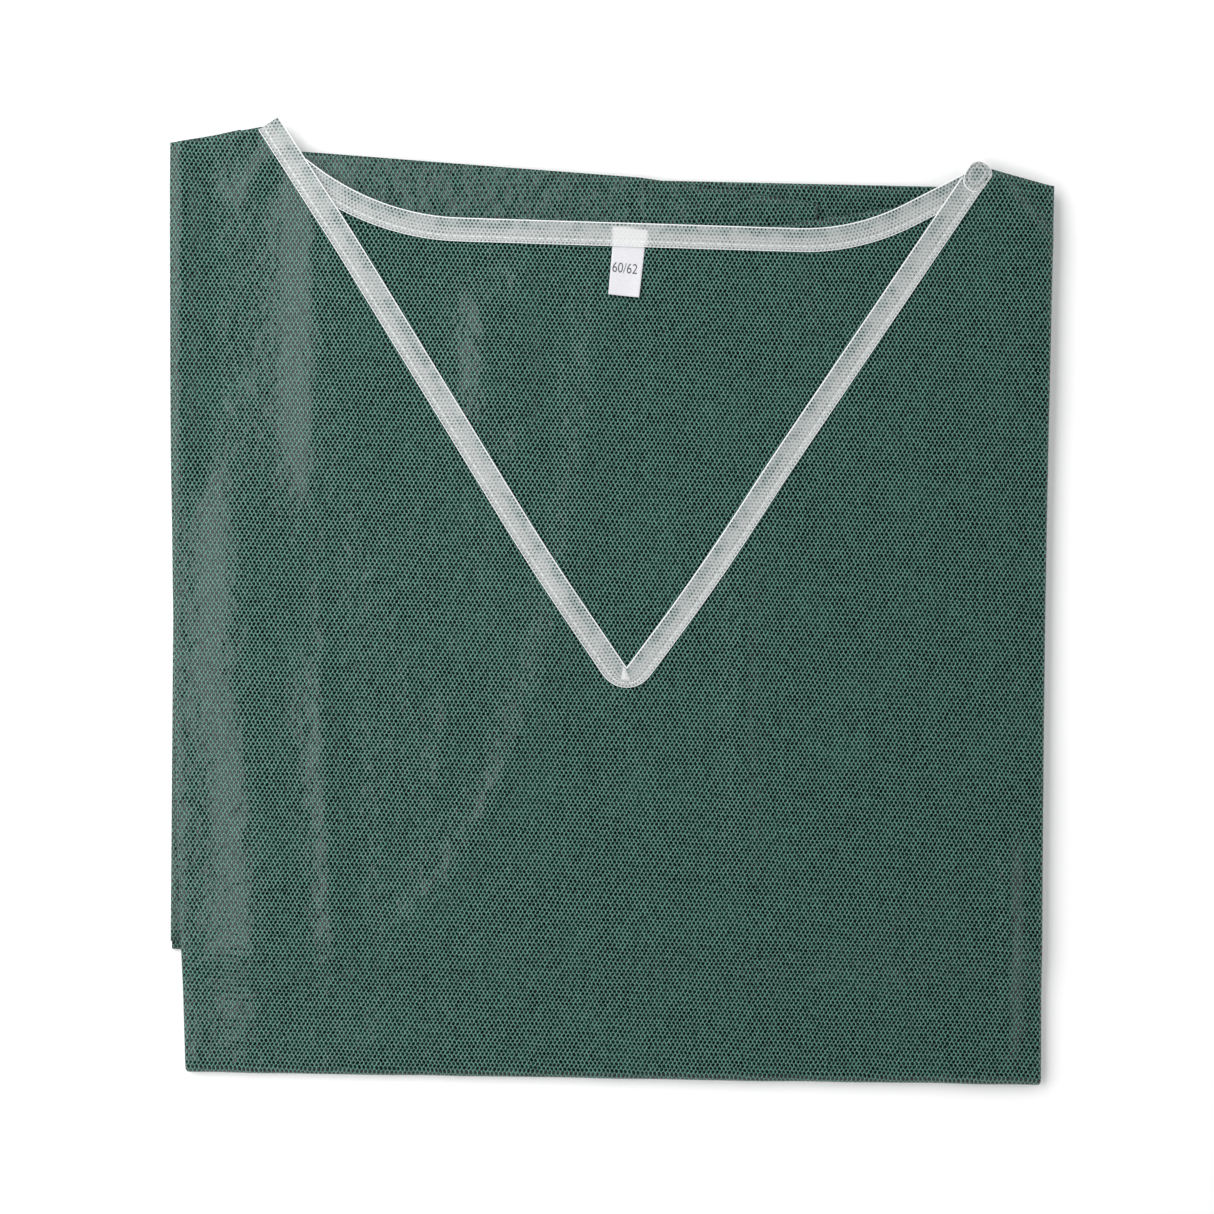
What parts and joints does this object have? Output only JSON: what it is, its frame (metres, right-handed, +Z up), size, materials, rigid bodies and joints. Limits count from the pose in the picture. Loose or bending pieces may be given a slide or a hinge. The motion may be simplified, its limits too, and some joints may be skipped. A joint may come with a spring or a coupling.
{
  "type": "patient gown",
  "caption": "Patient gown of embossed green nonwoven, folded flat into thirds with its sides turned behind, V neck bound in white tape, a size label at the back of the neck.",
  "frame": {"origin": "centre of the folded gown's footprint, at the height of the table it lies on", "axes": "+Z up from the table, +Y from the foot fold towards the neck, +X to the right of someone looking down with the neck away from them"},
  "size_m": [0.3992, 0.436, 0.0091],
  "materials": {
    "green_nonwoven": "matt embossed spunbond",
    "binding_tape": "translucent white nonwoven tape",
    "label_satin": "smooth white satin",
    "sewing_thread": "white polyester thread"
  },
  "bodies": {
    "chest_third": {"back_neck_binding": "binding_tape", "back_neck_stitching": "sewing_thread", "back_panel_chest": "green_nonwoven", "binding_lap": "binding_tape", "front_panel_chest": "green_nonwoven", "left_flap_back_chest": "green_nonwoven", "left_flap_front_chest": "green_nonwoven", "left_shoulder_seam": "green_nonwoven", "left_side_fold_chest": "green_nonwoven", "left_side_seam_chest": "green_nonwoven", "right_flap_back_chest": "green_nonwoven", "right_flap_front_chest": "green_nonwoven", "right_shoulder_seam": "green_nonwoven", "right_side_fold_chest": "green_nonwoven", "right_side_seam_chest": "green_nonwoven", "size_label_stitching": "sewing_thread", "size_label_tuck": "label_satin", "v_binding_left": "binding_tape", "v_binding_right": "binding_tape", "v_stitching": "sewing_thread"},
    "hem_third": {"back_panel_hem": "green_nonwoven", "front_panel_hem": "green_nonwoven", "left_flap_back_hem": "green_nonwoven", "left_flap_front_hem": "green_nonwoven", "left_side_fold_hem": "green_nonwoven", "left_side_seam_hem": "green_nonwoven", "right_flap_back_hem": "green_nonwoven", "right_flap_front_hem": "green_nonwoven", "right_side_fold_hem": "green_nonwoven", "right_side_seam_hem": "green_nonwoven", "top_fold": "green_nonwoven"},
    "middle_third": {"back_panel_middle": "green_nonwoven", "foot_fold": "green_nonwoven", "front_panel_middle": "green_nonwoven", "left_flap_back_middle": "green_nonwoven", "left_flap_front_middle": "green_nonwoven", "left_side_fold_middle": "green_nonwoven", "left_side_seam_middle": "green_nonwoven", "right_flap_back_middle": "green_nonwoven", "right_flap_front_middle": "green_nonwoven", "right_side_fold_middle": "green_nonwoven", "right_side_seam_middle": "green_nonwoven"},
    "size_label": {"size_label": "label_satin"}
  },
  "joints": [
    {"name": "top_fold_opening", "type": "hinge", "parent": "hem_third", "child": "middle_third", "pos_m": [0, 0.19, 0.00225], "axis": [-0.9998, 0.022, 0], "range_deg": [0, 180], "deforming": ["top_fold"]},
    {"name": "foot_fold_opening", "type": "hinge", "parent": "middle_third", "child": "chest_third", "pos_m": [0, -0.21205, 0.00465], "axis": [0.9999, -0.0155, 0], "range_deg": [0, 180], "deforming": ["foot_fold"]},
    {"name": "size_label_flip", "type": "hinge", "parent": "chest_third", "child": "size_label", "pos_m": [0.0077, 0.1592, 0.00795], "axis": [-0.9951, 0.0993, 0], "range_deg": [0, 165]}
  ]
}
